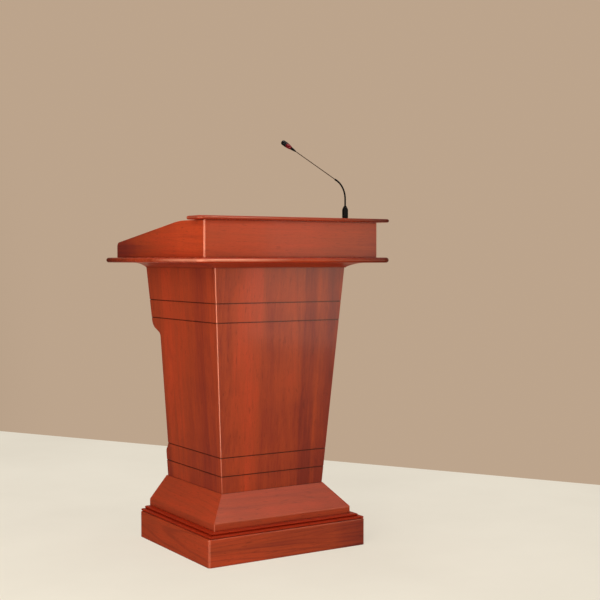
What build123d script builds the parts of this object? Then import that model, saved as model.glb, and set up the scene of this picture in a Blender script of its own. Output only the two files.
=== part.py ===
from build123d import *
import math
import os

# A wooden lectern with a rear cupboard, a drawer and a gooseneck microphone.
# Millimetres, +Z up, origin on the floor under the middle of the desk board.
# -Y is the audience's side, +Y the speaker's side.

# ---- driving dimensions -------------------------------------------------
BOARD = 18.0                    # thickness of the panels

PLINTH_HALF_WIDTH = 310.7
PLINTH_FRONT = -316.3
PLINTH_BACK = 218.3
PLINTH_BOTTOM = 1.0
PLINTH_TOP = 95.0
PLINTH_BOARD = 22.0
PLINTH_CORNER_RADIUS = 9.0
PLINTH_EDGE_RADIUS = 5.5

REED_TOP = 110.8                # two small half-round reeds lie on the plinth
REED_MIDDLE = 102.5
REED_LOWER_OUT = 31.0           # how far the reeds' flats stand out from the skirt
REED_UPPER_OUT = 16.0
REED_DEPTH = 30.0

SKIRT_HALF_WIDTH = 272.0
SKIRT_FRONT = -280.6
SKIRT_BAND_TOP = 135.0          # upright band below the skirt's slope
SKIRT_TOP = 215.5
SKIRT_BREAK_RADIUS = 10.0
SKIRT_CORNER_RADIUS = 3.0
SKIRT_LEDGE = 1.5

COLUMN_BOTTOM = PLINTH_TOP
COLUMN_TOP = 998.0
COLUMN_HALF_WIDTH = 202.5       # at the skirt's top
COLUMN_FRONT = -205.8           # at the skirt's top
WIDTH_TAPER = 0.0734            # widening per millimetre of height, each side
FRONT_TAPER = 0.0774
COLUMN_EDGE_RADIUS = 3.5
GROOVE_HEIGHTS = (274.3, 338.7, 797.3, 862.2)
GROOVE_WIDTH = 3.0
GROOVE_DEPTH = 2.0

BAND_BACK = 210.0               # rear edge of the side panels, bottom to top
RECESS_BACK = 190.7
DRAWER_BACK = 251.0
SIDE_TOP_BACK = 271.3

COVE_BOTTOM = 981.0
COVE_LIP = 3.0
COVE_LIP_TOP = 983.0
COVE_REACH = 55.0

DESK_THICKNESS = 18.0
DESK_HALF_WIDTH = 378.0
DESK_HALF_DEPTH = 383.0
DESK_CORNER_RADIUS = 29.0
DESK_BULLNOSE = 8.9
DESK_CABLE_HOLE = (202.0, -220.0, 12.5)     # x, y, radius

SCREW_RADIUS = 2.0              # screws that hold the desk board down
SCREW_HEAD_RADIUS = 4.0
SCREW_HEAD_HEIGHT = 3.5
SCREW_LENGTH = 52.0
SCREW_FIT = 0.05
FRONT_SCREW_X = 120.0
SIDE_SCREW_Y = (-150.0, 120.0)

BOX_HALF = (341.0, 346.0)       # half width, half depth of the upper box
BOX_BOTTOM = COLUMN_TOP + DESK_THICKNESS
BOX_TOP = 1138.0
BOX_CORNER_RADIUS = 7.0
SLOPE = 0.1332                  # fall of the reading side per millimetre
SLOPE_START = -163.0
SLOPE_BLEND_RADIUS = 600.0
CHEEK_REAR_RADIUS = 17.0
CHEEK_EASE = 2.0                # rounding of the cheeks' upper outside edges
READING_RECESS = 14.0           # the reading panel lies this far below the cheeks
READING_THICKNESS = 15.0
EQUIPMENT_BACK = -185.0
STOP_DEPTH = 14.0               # book stop at the reading panel's lower edge
STOP_PROUD = 12.0
STOP_SUNK = 4.0                 # it sits in a rebate this deep
STOP_EDGE_RADIUS = 4.0

TOP_BOARD_HALF_WIDTH = 376.0
TOP_BOARD_FRONT = -381.0
TOP_BOARD_BACK = -277.0
TOP_BOARD_THICKNESS = 12.0
TOP_BOARD_CORNER_RADIUS = 20.0
TOP_BOARD_BULLNOSE = 5.9

BASE_PANEL_INSET = 4.0          # rear base panel, inside the side panels' rear edge
BASE_CABLE_HOLE = (200.0, 25.0)     # height, radius
FLOOR_BOTTOM = 302.0            # cupboard floor
FLOOR_NOSE_OUT = 8.0
FLOOR_NOSE_RADIUS = 6.0
DOOR_OPENING_HALF_WIDTH = 178.0
DOOR_BOTTOM = 323.0
DOOR_TOP = 728.0
DOOR_FACE = 188.6
DOOR_SIDE_GAP = 3.0
DOOR_MIDDLE_GAP = 1.0
DOOR_EDGE_RADIUS = 2.0
DOOR_KNOB = (30.0, 540.0)       # x, z
STRIKE_X = (28.0, 62.0)
STRIKE_HEIGHT = (14.0, 3.0)     # height of the plate, gap above it
STRIKE_THICKNESS = 1.2
CATCH_X = (24.0, 66.0)
CATCH_DEPTH = 16.0
CATCH_GAP = 0.5                 # between the catch and its strike plate
APRON_BOTTOM = 731.0
APRON_TOP = 778.0
APRON_INNER = 140.0
SHELF_BOTTOM = 520.0
SHELF_THICKNESS = 16.0
SHELF_BACK = 150.0
SHELF_SIDE_GAP = 1.5
SHELF_PIN_RADIUS = 2.5
SHELF_PIN_OUT = 9.0             # how far a pin stands out of the side panel
SHELF_PIN_IN = 10.0             # how far it goes into it
SHELF_PIN_PLACES = (-120.0, 110.0)

HINGE_HEIGHTS = (390.0, 660.0)
HINGE_LENGTH = 63.0
HINGE_AXIS_X = 176.5
HINGE_AXIS_Y = 193.0
KNUCKLE_RADIUS = 4.0
HINGE_PIN_RADIUS = 2.0
HINGE_FIT = 0.05
LEAF_THICKNESS = 1.4
LEAF_INNER = 166.0
KNUCKLE_GAP = 0.3
PIN_HEAD = 1.2
PIN_HEAD_RADIUS = 3.4

KNOB_OUTLINE = ((0, -10), (2, -10), (2, 0), (9, 0), (9, 2), (5.5, 4), (5.5, 11), (13, 15),
                (14.5, 19), (13, 23), (8, 25.5), (0, 26))     # radius, distance from the face
KNOB_STUD = (2.05, 20.2)        # radius and length of the hole for its stud

DRAWER_FRONT_BOTTOM = 798.0
DRAWER_FRONT_TOP = 950.0
DRAWER_FACE = 250.0
DRAWER_SIDE_GAP = 2.0
DRAWER_HALF_WIDTH = 196.3
DRAWER_BOTTOM = 812.0
DRAWER_SHEET = 6.0              # the drawer's thin bottom
DRAWER_HEIGHT = 120.0
DRAWER_REAR = -130.0
DRAWER_BOARD = 12.0
SUPPORT_INNER = 209.0
SUPPORT_THICKNESS = 16.0
SUPPORT_ENDS = (-150.0, 225.0)
RUNNER_MIDDLE = 872.5
RUNNER_HEIGHT = 45.0
RUNNER_SHEET = 1.4
RUNNER_LENGTH = 350.0
RUNNER_CLEARANCE = 0.35
RUNNER_LIP_GAP = 1.3            # between one channel's lips and the other's web

MIC_X = 232.0
MIC_Y = -306.0
SOCKET_FLANGE = (26.0, 31.0, 2.2)
SOCKET_BODY_RADIUS = 11.8
SOCKET_DEPTH = 26.0
SOCKET_BORE_RADIUS = 9.7
SOCKET_BORE_DEPTH = 17.0
SOCKET_CORE = (7.6, 12.0)       # radius and height of the block of contacts
SOCKET_FIT = 0.3                # between the socket and the boards round it
CONTACT_CIRCLE = 4.2            # three contacts lie on this radius
CONTACT_TURNS = (90, 210, 330)
CONTACT_PIN_RADIUS = 1.2
CONTACT_HOLE_RADIUS = 1.4
CONTACT_SHORT = 2.0             # pins and holes stop this far from the end
HOUSING_SIZE = (5.0, 15.3, 4.0)     # the release tab's housing: half width, reach, floor
SOCKET_SCREW = (9.8, 12.2)      # x and y from the socket's middle
SOCKET_SCREW_RADIUS = 1.3
SOCKET_SCREW_HEAD = (2.6, 1.6)
SOCKET_SCREW_LENGTH = 11.0
CROSS_SLOT = (2.0, 0.35, 0.9)   # half length, half width, depth
TAB_SIZE = (7.0, 3.6)
TAB_OFFSET = -12.4
TAB_PROUD = 1.5
TAB_DEPTH = 9.0
TAB_FIT = 0.2
TAB_TRAVEL_ROOM = 2.5
TAB_EDGE_RADIUS = 0.5
BARREL_RADIUS = 10.3
BARREL_SHOULDER = 1181.0
BARREL_TOP = 1195.0
BARREL_LIFT = 0.5               # gap over the socket's flange
PLUG_OUTER_RADIUS = 9.5
PLUG_INNER_RADIUS = 8.0
PLUG_LENGTH = 14.0
NECK_RADIUS = 3.2
NECK_STRAIGHT_TOP = 1219.0
NECK_BEND_RADIUS = 77.5
NECK_TURN = 58.5                # degrees from upright to the stem's slant
NECK_HEADING = 110.0            # degrees from +X, seen from above
NECK_GAP = 1.0
FLEX_TAIL = 8.0                 # straight end of the flexible neck
STEM_RADIUS = 1.8
STEM_LENGTH = 205.0
HEAD_LENGTHS = (23.0, 22.0, 27.0)   # collar, flared red light ring, capsule

DESK_TOP = BOX_BOTTOM
TOP_BOARD_TOP = BOX_TOP + TOP_BOARD_THICKNESS
FAR = 700.0                     # beyond every outside face
LOW, HIGH = -50.0, 1500.0       # below and above everything


def half_width(z):
    """Outside half width of the column at height z."""
    return COLUMN_HALF_WIDTH + WIDTH_TAPER * (z - SKIRT_TOP)


def front_y(z):
    """Outside face of the column's front at height z."""
    return COLUMN_FRONT - FRONT_TAPER * (z - SKIRT_TOP)


def cheek_z(y):
    """Height of the cheeks' straight sloping line at y."""
    return BOX_TOP - SLOPE * (y - SLOPE_START)


# ---- small builders -----------------------------------------------------
def block(x0, x1, y0, y1, z0, z1):
    """A box from its lowest to its highest corner."""
    middle = Pos((x0 + x1) / 2, (y0 + y1) / 2, (z0 + z1) / 2)
    return middle * Box(x1 - x0, y1 - y0, z1 - z0)


def rod(x, y, z0, z1, radius):
    """An upright cylinder."""
    return Pos(x, y, (z0 + z1) / 2) * Cylinder(radius, z1 - z0)


def cross_rod(x0, x1, y, z, radius):
    """A cylinder along X."""
    return Pos((x0 + x1) / 2, y, z) * Rot(0, 90, 0) * Cylinder(radius, abs(x1 - x0))


def tapered_prism(outline, z0, z1):
    """A solid whose level outline is the polygon outline(z), from z0 up to z1."""
    ends = []
    for z in (z0, z1):
        corners = [(x, y, z) for x, y in outline(z)]
        ends.append(make_face(Polyline(*corners, close=True)))
    return loft(ends, ruled=True)


def prism(corners, z0, z1):
    """An upright prism over a polygon in plan."""
    return tapered_prism(lambda z: corners, z0, z1)


def along_x(edges, x0, x1):
    """Extrudes a closed outline drawn in the plane X = 0."""
    return Pos(x0, 0, 0) * extrude(make_face(edges), amount=x1 - x0, dir=(1, 0, 0))


def along_y(edges, y0, y1):
    """Extrudes a closed outline drawn in the plane Y = 0."""
    return Pos(0, y0, 0) * extrude(make_face(edges), amount=y1 - y0, dir=(0, 1, 0))


def steep_edges(shape):
    """The edges that run more up than sideways."""
    return [e for e in shape.edges() if abs((e @ 1 - e @ 0).Z) > 0.5 * e.length]


def level_edges(shape, z):
    """The edges that lie at height z."""
    return [e for e in shape.edges() if abs((e @ 0).Z - z) < 1e-4 and abs((e @ 1).Z - z) < 1e-4]


def rounded_board(x0, x1, y0, y1, z0, z1, corner, bullnose):
    """A board with round corners in plan and a half-round edge."""
    board = block(x0, x1, y0, y1, z0, z1)
    board = fillet(steep_edges(board), corner)
    return fillet(level_edges(board, z0) + level_edges(board, z1), bullnose)


def other_side(piece):
    """The same piece on the other side of the middle plane."""
    return mirror(piece, about=Plane.YZ)


def pair(piece):
    """A piece and its mirror image, as separate solids of one node."""
    return [piece, other_side(piece)]


def mitred(front_piece, side_piece, outer, inner, back):
    """Cuts a front piece and a right-hand side piece along the mitre line that runs in plan
    from the point inner to the point outer, and the side piece square at back."""
    (x_in, y_in), (x_out, y_out) = inner, outer
    front_zone = prism([(-x_in, y_in), (x_in, y_in), (x_out, y_out), (-x_out, y_out)], LOW, HIGH)
    side_zone = prism([(x_in, y_in), (x_out, y_out), (x_out, back), (x_in, back)], LOW, HIGH)
    return front_piece & front_zone, side_piece & side_zone


def line_through(inner, outer, x):
    """The point at x on the straight line through two points in plan."""
    share = (x - inner[0]) / (outer[0] - inner[0])
    return x, inner[1] + share * (outer[1] - inner[1])


# ---- plinth -------------------------------------------------------------
def plinth():
    envelope = block(-PLINTH_HALF_WIDTH, PLINTH_HALF_WIDTH, PLINTH_FRONT, PLINTH_BACK,
                     PLINTH_BOTTOM, PLINTH_TOP)
    envelope = fillet(steep_edges(envelope), PLINTH_CORNER_RADIUS)
    envelope = fillet(level_edges(envelope, PLINTH_TOP), PLINTH_EDGE_RADIUS)
    w, f, b, t = PLINTH_HALF_WIDTH, PLINTH_FRONT, PLINTH_BACK, PLINTH_BOARD
    levels = (PLINTH_BOTTOM, PLINTH_TOP)
    front = prism([(-w, f), (w, f), (w - t, f + t), (t - w, f + t)], *levels)
    back = prism([(-w, b), (w, b), (w - t, b - t), (t - w, b - t)], *levels)
    side = prism([(w, f), (w, b), (w - t, b - t), (w - t, f + t)], *levels)
    top = block(t - w, w - t, f + t, b - t, PLINTH_TOP - BOARD, PLINTH_TOP)
    return {
        "plinth_front": front & envelope,
        "plinth_back": back & envelope,
        "plinth_sides": pair(side & envelope),
        "plinth_top": top,
    }


def corner_supports():
    """Glued blocks in the plinth's corners, and the plastic glides nailed under them."""
    size = 45.0
    glide_radius, glide_height, glide_edge = 16.0, 8.0, 2.0
    x_out = PLINTH_HALF_WIDTH - PLINTH_BOARD
    corners = [(sx * x_out, y, sx, sy) for sx in (-1, 1)
               for y, sy in ((PLINTH_FRONT + PLINTH_BOARD, -1), (PLINTH_BACK - PLINTH_BOARD, 1))]
    blocks, glides = [], []
    for x, y, sx, sy in corners:
        x_in, y_in = x - sx * size, y - sy * size
        blocks.append(block(min(x, x_in), max(x, x_in), min(y, y_in), max(y, y_in),
                            glide_height, PLINTH_TOP - BOARD))
        glide = rod((x + x_in) / 2, (y + y_in) / 2, 0, glide_height, glide_radius)
        glides.append(fillet(level_edges(glide, 0), glide_edge))
    return {"corner_blocks": blocks, "glides": glides}


def reed_outline(face, place):
    """Section of the two reeds; face is the skirt's outer face, place makes a 3-D point."""
    lower, upper, inner = face + REED_LOWER_OUT, face + REED_UPPER_OUT, face - REED_DEPTH
    low_radius, high_radius = (REED_MIDDLE - PLINTH_TOP) / 2, (REED_TOP - REED_MIDDLE) / 2
    low = ThreePointArc(place(lower, PLINTH_TOP), place(lower + low_radius, PLINTH_TOP + low_radius),
                        place(lower, REED_MIDDLE))
    step = Line(place(lower, REED_MIDDLE), place(upper, REED_MIDDLE))
    high = ThreePointArc(place(upper, REED_MIDDLE), place(upper + high_radius, REED_MIDDLE + high_radius),
                         place(upper, REED_TOP))
    rest = Polyline(place(upper, REED_TOP), place(inner, REED_TOP), place(inner, PLINTH_TOP),
                    place(lower, PLINTH_TOP))
    return [low, step, high, rest]


def reeds():
    front = along_x(reed_outline(-SKIRT_FRONT, lambda out, z: (0, -out, z)), -FAR, FAR)
    side = along_y(reed_outline(SKIRT_HALF_WIDTH, lambda out, z: (out, 0, z)), -FAR, PLINTH_BACK)
    reach = 60.0
    outer = (SKIRT_HALF_WIDTH + reach, SKIRT_FRONT - reach)
    inner = (SKIRT_HALF_WIDTH - reach, SKIRT_FRONT + reach)
    front, side = mitred(front, side, outer, inner, PLINTH_BACK)
    return {"reed_moulding": [front] + pair(side)}


def skirt_outline(band, top, inner_top, inner_bottom, place):
    """Section of the skirt, from its upright band up its slope to the column."""
    path = FilletPolyline(place(band, REED_TOP), place(band, SKIRT_BAND_TOP), place(top, SKIRT_TOP),
                          radius=SKIRT_BREAK_RADIUS)
    rest = Polyline(place(top, SKIRT_TOP), place(inner_top, SKIRT_TOP),
                    place(inner_bottom, REED_TOP), place(band, REED_TOP))
    return [path, rest]


def skirt():
    front = along_x(skirt_outline(-SKIRT_FRONT, SKIRT_LEDGE - front_y(SKIRT_TOP), -front_y(SKIRT_TOP),
                                  -front_y(REED_TOP), lambda out, z: (0, -out, z)), -FAR, FAR)
    side = along_y(skirt_outline(SKIRT_HALF_WIDTH, SKIRT_LEDGE + half_width(SKIRT_TOP),
                                 half_width(SKIRT_TOP), half_width(REED_TOP),
                                 lambda out, z: (out, 0, z)), -FAR, PLINTH_BACK)
    corner = (SKIRT_HALF_WIDTH, SKIRT_FRONT)
    column = (half_width(SKIRT_TOP), front_y(SKIRT_TOP))
    margin = 40.0
    outer = line_through(column, corner, SKIRT_HALF_WIDTH + margin)
    inner = line_through(column, corner, half_width(REED_TOP) - 1)
    front, side = mitred(front, side, outer, inner, PLINTH_BACK)
    envelope = block(-SKIRT_HALF_WIDTH, SKIRT_HALF_WIDTH, SKIRT_FRONT, FAR, REED_TOP, SKIRT_TOP)
    corners = [e for e in steep_edges(envelope) if e.center().Y < 0]
    envelope = fillet(corners, SKIRT_CORNER_RADIUS)
    return {"skirt_front": front & envelope, "skirt_sides": pair(side & envelope)}


# ---- column -------------------------------------------------------------
def column_envelope():
    """The column's outside with its rounded corners."""
    def outline(z):
        w = half_width(z)
        return [(-w, front_y(z)), (w, front_y(z)), (w, FAR), (-w, FAR)]
    solid = tapered_prism(outline, COLUMN_BOTTOM, COLUMN_TOP)
    corners = [e for e in steep_edges(solid) if e.center().Y < 0]
    return fillet(corners, COLUMN_EDGE_RADIUS)


def inside_prism(z0, z1, y0, y1, gap=0.0):
    """A solid between the side panels' leaning inner faces. Without y0 it starts at the
    front panel's inner face."""
    def outline(z):
        w = half_width(z) - BOARD - gap
        front = front_y(z) + BOARD + gap if y0 is None else y0
        return [(-w, front), (w, front), (w, y1), (-w, y1)]
    return tapered_prism(outline, z0, z1)


def groove_cutters():
    """What the four level grooves take away from the column's outside."""
    def core(z):
        w = half_width(z) - GROOVE_DEPTH
        return [(-w, front_y(z) + GROOVE_DEPTH), (w, front_y(z) + GROOVE_DEPTH), (w, FAR), (-w, FAR)]
    cutters = []
    for middle in GROOVE_HEIGHTS:
        low, high = middle - GROOVE_WIDTH / 2, middle + GROOVE_WIDTH / 2
        cutters.append(block(-FAR, FAR, -FAR, FAR, low, high) - tapered_prism(core, low, high))
    return cutters


def side_outline():
    """The side panel seen from the side: its rear edge steps in above the bottom band and
    sweeps out again under the drawer."""
    band_corner, recess_corner = (BAND_BACK, 312.0), (RECESS_BACK, 332.0)
    sweep_start, sweep_end = (RECESS_BACK, 741.0), (DRAWER_BACK, 768.0)
    points = [(BAND_BACK, COLUMN_BOTTOM), band_corner, recess_corner, sweep_start, sweep_end,
              (SIDE_TOP_BACK, COLUMN_TOP)]
    rear = FilletPolyline(*[(0, y, z) for y, z in points], radius=[22.0, 22.0, 18.0, 36.0])
    rest = Polyline((0, SIDE_TOP_BACK, COLUMN_TOP), (0, -FAR, COLUMN_TOP), (0, -FAR, COLUMN_BOTTOM),
                    (0, BAND_BACK, COLUMN_BOTTOM))
    return [rear, rest]


def shelf_pin_x():
    """The side panels' inner face at the height of the shelf pins."""
    return half_width(SHELF_BOTTOM - SHELF_PIN_RADIUS) - BOARD


def column_panels():
    envelope = column_envelope()
    cutters = groove_cutters()

    def front_outline(z):
        w, f = half_width(z), front_y(z)
        return [(-w, f), (w, f), (w - BOARD, f + BOARD), (BOARD - w, f + BOARD)]

    def side_plan(z):
        w, f = half_width(z), front_y(z)
        return [(w, f), (w - BOARD, f + BOARD), (w - BOARD, FAR / 2), (w, FAR / 2)]

    front = tapered_prism(front_outline, COLUMN_BOTTOM, COLUMN_TOP) & envelope
    side = tapered_prism(side_plan, COLUMN_BOTTOM, COLUMN_TOP) & envelope
    side = side & along_x(side_outline(), 0, FAR)
    for cutter in cutters:
        front = front - cutter
        side = side - cutter
    inner = shelf_pin_x()
    for y in SHELF_PIN_PLACES:
        side = side - cross_rod(inner - 5, inner + SHELF_PIN_IN, y, SHELF_BOTTOM - SHELF_PIN_RADIUS,
                                SHELF_PIN_RADIUS + SCREW_FIT)
    for x, y in desk_screw_places():
        front = front - screw_hole(x, y)
        side = side - screw_hole(x, y)
    return {"front_panel": front, "left_panel": other_side(side), "right_panel": side}


# ---- screws that hold the desk board down -------------------------------
def desk_screw_places():
    side = half_width(COLUMN_TOP) - BOARD / 2 - 1
    front = front_y(COLUMN_TOP) + BOARD / 2 + 1
    places = [(-FRONT_SCREW_X, front), (FRONT_SCREW_X, front)]
    for y in SIDE_SCREW_Y:
        places += [(-side, y), (side, y)]
    return places


def screw_shape(x, y, spread):
    shank = rod(x, y, DESK_TOP - SCREW_LENGTH, DESK_TOP - SCREW_HEAD_HEIGHT, SCREW_RADIUS + spread)
    head = Pos(x, y, DESK_TOP - SCREW_HEAD_HEIGHT / 2) * Cone(
        SCREW_RADIUS + spread, SCREW_HEAD_RADIUS + spread, SCREW_HEAD_HEIGHT)
    return shank + head


def screw_hole(x, y):
    return screw_shape(x, y, SCREW_FIT)


def desk_screws():
    slot_width, slot_depth = 1.0, 1.2
    screws = []
    for x, y in desk_screw_places():
        slot = block(x - FAR, x + FAR, y - slot_width / 2, y + slot_width / 2,
                     DESK_TOP - slot_depth, DESK_TOP + 1)
        screws.append(screw_shape(x, y, 0) - slot)
    return {"desk_screws": screws}


# ---- inside and back of the column --------------------------------------
def cupboard():
    base_face = BAND_BACK - BASE_PANEL_INSET
    rear_base = inside_prism(PLINTH_TOP, FLOOR_BOTTOM, base_face - BOARD, base_face)
    hole_z, hole_radius = BASE_CABLE_HOLE
    cable_hole = Pos(0, base_face, hole_z) * Rot(90, 0, 0) * Cylinder(hole_radius, 3 * BOARD)
    sill = RECESS_BACK + FLOOR_NOSE_OUT
    floor = inside_prism(FLOOR_BOTTOM, FLOOR_BOTTOM + BOARD, None, sill)
    nose = [e for e in floor.edges() if abs(e.center().Y - sill) < 1e-3
            and abs((e @ 1 - e @ 0).X) > DOOR_OPENING_HALF_WIDTH]
    floor = fillet(nose, FLOOR_NOSE_RADIUS)
    shelf = inside_prism(SHELF_BOTTOM, SHELF_BOTTOM + SHELF_THICKNESS, None, SHELF_BACK,
                         gap=SHELF_SIDE_GAP)
    inner = shelf_pin_x()
    pins = []
    for y in SHELF_PIN_PLACES:
        pins += pair(cross_rod(inner - SHELF_PIN_OUT, inner + SHELF_PIN_IN, y,
                               SHELF_BOTTOM - SHELF_PIN_RADIUS, SHELF_PIN_RADIUS))
    return {
        "rear_base_panel": rear_base - cable_hole,
        "cupboard_floor": floor,
        "inner_shelf": shelf,
        "shelf_pins": pins,
    }


def stile():
    """Right-hand upright beside the door: upright inside, leaning like the side panel outside."""
    def outline(z):
        w = half_width(z) - BOARD
        return [(DOOR_OPENING_HALF_WIDTH, DOOR_FACE - BOARD), (w, DOOR_FACE - BOARD),
                (w, DOOR_FACE), (DOOR_OPENING_HALF_WIDTH, DOOR_FACE)]
    return tapered_prism(outline, FLOOR_BOTTOM + BOARD, APRON_BOTTOM)


def apron():
    """Curved rail under the drawer, following the side panels' sweep."""
    inset = 3.0
    start, end = (RECESS_BACK - inset, APRON_BOTTOM), (DRAWER_BACK - 4.5, APRON_TOP)
    points = [start, (start[0], 743.5), (end[0] - 0.5, 770.2), end]
    path = FilletPolyline(*[(0, y, z) for y, z in points], radius=[14.0, 8.0])
    rest = Polyline((0, *end), (0, APRON_INNER, APRON_TOP), (0, APRON_INNER, APRON_BOTTOM), (0, *start))
    return along_x([path, rest], -FAR, FAR) & inside_prism(APRON_BOTTOM, APRON_TOP, 0, FAR / 2)


def drawer_housing():
    deck = inside_prism(APRON_TOP, APRON_TOP + BOARD, None, DRAWER_BACK - 5)
    support = block(SUPPORT_INNER, SUPPORT_INNER + SUPPORT_THICKNESS, *SUPPORT_ENDS,
                    APRON_TOP + BOARD, COLUMN_TOP)
    rail = inside_prism(DRAWER_FRONT_TOP + 2, COLUMN_TOP, DRAWER_FACE - BOARD, DRAWER_FACE)
    return {
        "door_stiles": pair(stile()),
        "apron_rail": apron(),
        "drawer_deck": deck,
        "drawer_supports": pair(support),
        "rear_top_rail": rail,
    }


# ---- cove under the desk board ------------------------------------------
def cove_outline(face, place):
    """Section of the cove: a small lip, then one hollow curve out to the desk board."""
    lip, tip = face(COVE_LIP_TOP) + COVE_LIP, face(COVE_LIP_TOP) + COVE_REACH
    rise, run = COLUMN_TOP - COVE_LIP_TOP, COVE_REACH - COVE_LIP
    radius = (rise ** 2 + run ** 2) / (2 * rise)
    middle_run = run / 2
    middle_rise = radius - math.sqrt(radius ** 2 - middle_run ** 2)
    curve = ThreePointArc(place(lip, COVE_LIP_TOP), place(tip - middle_run, COLUMN_TOP - middle_rise),
                          place(tip, COLUMN_TOP))
    rest = Polyline(place(tip, COLUMN_TOP), place(face(COLUMN_TOP), COLUMN_TOP),
                    place(face(COVE_BOTTOM), COVE_BOTTOM), place(lip, COVE_BOTTOM),
                    place(lip, COVE_LIP_TOP))
    return [curve, rest]


def cove():
    front = along_x(cove_outline(lambda z: -front_y(z), lambda out, z: (0, -out, z)), -FAR, FAR)
    side = along_y(cove_outline(half_width, lambda out, z: (out, 0, z)), -FAR, FAR)
    corner = (half_width(COVE_LIP_TOP), front_y(COVE_LIP_TOP))
    reach = COVE_REACH + 10
    outer = (corner[0] + reach, corner[1] - reach)
    inner = (corner[0] - 5, corner[1] + 5)
    front, side = mitred(front, side, outer, inner, SIDE_TOP_BACK - 1.5)
    return {"cove_front": front, "cove_sides": pair(side)}


# ---- desk board and upper box -------------------------------------------
def desk_board():
    board = rounded_board(-DESK_HALF_WIDTH, DESK_HALF_WIDTH, -DESK_HALF_DEPTH, DESK_HALF_DEPTH,
                          COLUMN_TOP, DESK_TOP, DESK_CORNER_RADIUS, DESK_BULLNOSE)
    for x, y in desk_screw_places():
        board = board - screw_hole(x, y)
    hole_x, hole_y, hole_radius = DESK_CABLE_HOLE
    return {"desk_board": board - rod(hole_x, hole_y, COLUMN_TOP - 1, DESK_TOP + 1, hole_radius)}


def box_outline():
    """The upper box seen from the side: level at the front, then sloping to the rear."""
    depth = BOX_HALF[1]
    path = FilletPolyline((0, -depth, BOX_TOP), (0, SLOPE_START, BOX_TOP), (0, depth, cheek_z(depth)),
                          (0, depth, DESK_TOP), radius=[SLOPE_BLEND_RADIUS, CHEEK_REAR_RADIUS])
    rest = Polyline((0, depth, DESK_TOP), (0, -depth, DESK_TOP), (0, -depth, BOX_TOP))
    return [path, rest]


def upper_box():
    w, d, t = *BOX_HALF, BOARD
    envelope = block(-w, w, -d, FAR / 2 + d, DESK_TOP, BOX_TOP)
    corners = [e for e in steep_edges(envelope) if e.center().Y < 0]
    envelope = fillet(corners, BOX_CORNER_RADIUS) & along_x(box_outline(), -w, w)
    levels = (DESK_TOP, BOX_TOP)
    front = prism([(-w, -d), (w, -d), (w - t, t - d), (t - w, t - d)], *levels) & envelope
    cheek = prism([(w, -d), (w - t, t - d), (w - t, d), (w, d)], *levels) & envelope
    short = 60.0
    outer_top = [e for e in cheek.edges() if abs(e.center().X - w) < 1e-3
                 and e.center().Z > DESK_TOP + short and (e @ 1 - e @ 0).length > short]
    cheek = fillet(outer_top, CHEEK_EASE)
    return {"box_front": front, "cheek_right": cheek, "cheek_left": other_side(cheek)}


def reading_z(y):
    """Height of the reading panel's upper face at y."""
    return cheek_z(y) - READING_RECESS


def sloping_strip(y0, y1, below, above, half_length, lean=0.0):
    """A strip along X that follows the reading slope from y0 to y1. Its ends are upright, or
    square to the slope when lean is SLOPE."""
    corners = [(y0, above), (y1, above), (y1, below), (y0, below)]
    points = [(0, y + lean * rise, reading_z(y) + rise) for y, rise in corners]
    return along_x([Polyline(*points, close=True)], -half_length, half_length)


def reading_surface():
    """Equipment panel, sloping reading panel, book stop and the rail behind them."""
    w = BOX_HALF[0] - BOARD
    rear = BOX_HALF[1] - BOARD
    equipment = block(-w, w, BOARD - BOX_HALF[1], EQUIPMENT_BACK, BOX_TOP - BOARD, BOX_TOP)
    reading = sloping_strip(EQUIPMENT_BACK, rear, -READING_THICKNESS, 0, w)
    stop_front = rear - STOP_DEPTH
    reading = reading - sloping_strip(stop_front, rear + STOP_SUNK, -STOP_SUNK, STOP_PROUD, w, SLOPE)
    stop = sloping_strip(stop_front, rear, -STOP_SUNK, STOP_PROUD, w, SLOPE)
    upper_edges = [e for e in stop.edges() if abs((e @ 1 - e @ 0).X) > w
                   and e.center().Z > reading_z(e.center().Y) + STOP_PROUD / 2]
    stop = fillet(upper_edges, STOP_EDGE_RADIUS)
    rail = block(-w, w, rear, BOX_HALF[1], DESK_TOP, reading_z(BOX_HALF[1]))
    return {"equipment_panel": equipment - socket_recess(SOCKET_FIT), "reading_panel": reading,
            "book_stop": stop, "box_rear_rail": rail}


def top_board():
    board = rounded_board(-TOP_BOARD_HALF_WIDTH, TOP_BOARD_HALF_WIDTH, TOP_BOARD_FRONT, TOP_BOARD_BACK,
                          BOX_TOP, TOP_BOARD_TOP, TOP_BOARD_CORNER_RADIUS, TOP_BOARD_BULLNOSE)
    board = board - socket_recess(SOCKET_FIT)
    for x, y in socket_screw_places():
        board = board - socket_screw_shape(x, y, SCREW_FIT)
    return {"top_board": board}


# ---- microphone socket --------------------------------------------------
def socket_recess(spread):
    """The space of the socket, grown by spread: flange, round body and release-tab housing."""
    width, length, thick = SOCKET_FLANGE
    half, reach, floor = HOUSING_SIZE
    flange = block(MIC_X - width / 2 - spread, MIC_X + width / 2 + spread,
                   MIC_Y - length / 2 - spread, MIC_Y + length / 2 + spread,
                   TOP_BOARD_TOP - thick, TOP_BOARD_TOP)
    body = rod(MIC_X, MIC_Y, TOP_BOARD_TOP - SOCKET_DEPTH - spread, TOP_BOARD_TOP,
               SOCKET_BODY_RADIUS + spread)
    housing = block(MIC_X - half - spread, MIC_X + half + spread, MIC_Y - reach - spread, MIC_Y,
                    TOP_BOARD_TOP - TAB_DEPTH - floor - spread, TOP_BOARD_TOP)
    return flange + body + housing


def socket_screw_places():
    x, y = SOCKET_SCREW
    return [(MIC_X + x, MIC_Y + y), (MIC_X - x, MIC_Y - y)]


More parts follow.
